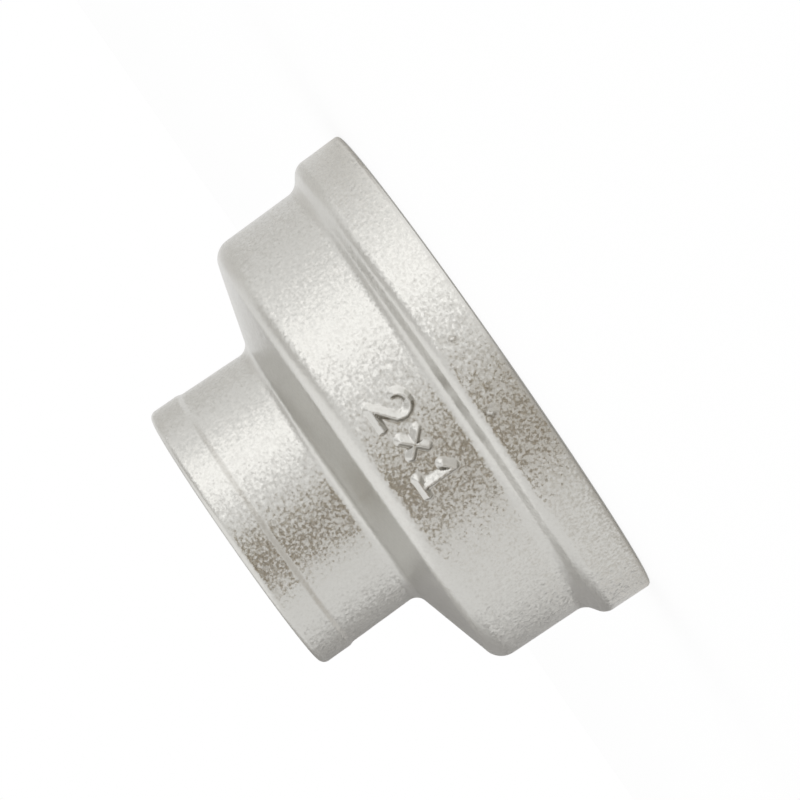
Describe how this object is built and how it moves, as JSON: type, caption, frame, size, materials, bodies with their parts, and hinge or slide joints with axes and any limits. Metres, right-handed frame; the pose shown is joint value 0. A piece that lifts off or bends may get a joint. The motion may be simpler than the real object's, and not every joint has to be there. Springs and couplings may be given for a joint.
{
  "type": "reducing coupling",
  "caption": "Cast steel reducing coupling: a wide and a narrow threaded socket on a common axis, joining pipes of unlike sizes.",
  "frame": {"origin": "centre of the wide end's face, on the axis of both sockets", "axes": "+Z along the common axis from the wide end to the narrow end; X and Y are free, because the casting is a body of revolution"},
  "size_m": [0.0714, 0.0714, 0.0411],
  "materials": {
    "cast_steel": "satin, as cast and blasted outside, cut threads and turned faces"
  },
  "bodies": {
    "root": {"reducing_coupling": "cast_steel"}
  },
  "joints": []
}
